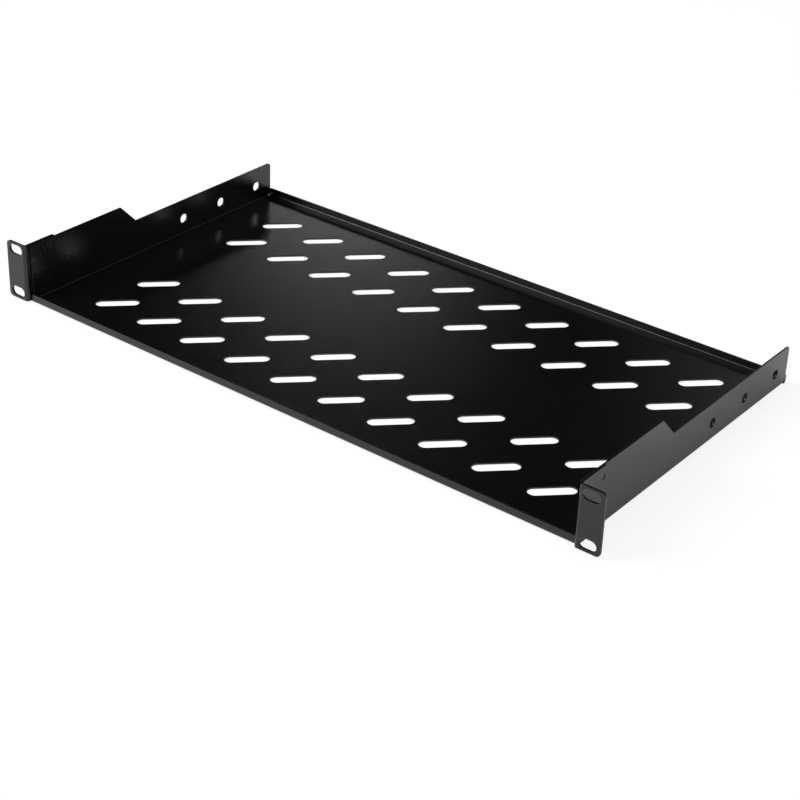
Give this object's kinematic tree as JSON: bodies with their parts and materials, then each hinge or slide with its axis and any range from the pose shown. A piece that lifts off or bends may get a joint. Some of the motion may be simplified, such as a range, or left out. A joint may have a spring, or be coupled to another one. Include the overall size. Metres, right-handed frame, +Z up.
{
  "type": "cantilever rack shelf",
  "caption": "Shallow folded steel tray with diagonal vent slots and stepped side walls, bolted into an equipment rack by its slotted front ears.",
  "frame": {"origin": "midway between the ear slots, on the plane where the ears' backs meet the rack rails", "axes": "+X across the rack, to the right seen from the front; +Y from the front into the rack; +Z up"},
  "size_m": [0.4826, 0.25, 0.043],
  "materials": {
    "black_coat": "black powder coat, fine texture, low sheen"
  },
  "bodies": {
    "root": {"shelf_tray": "black_coat", "left_bracket": "black_coat", "right_bracket": "black_coat"}
  },
  "joints": []
}
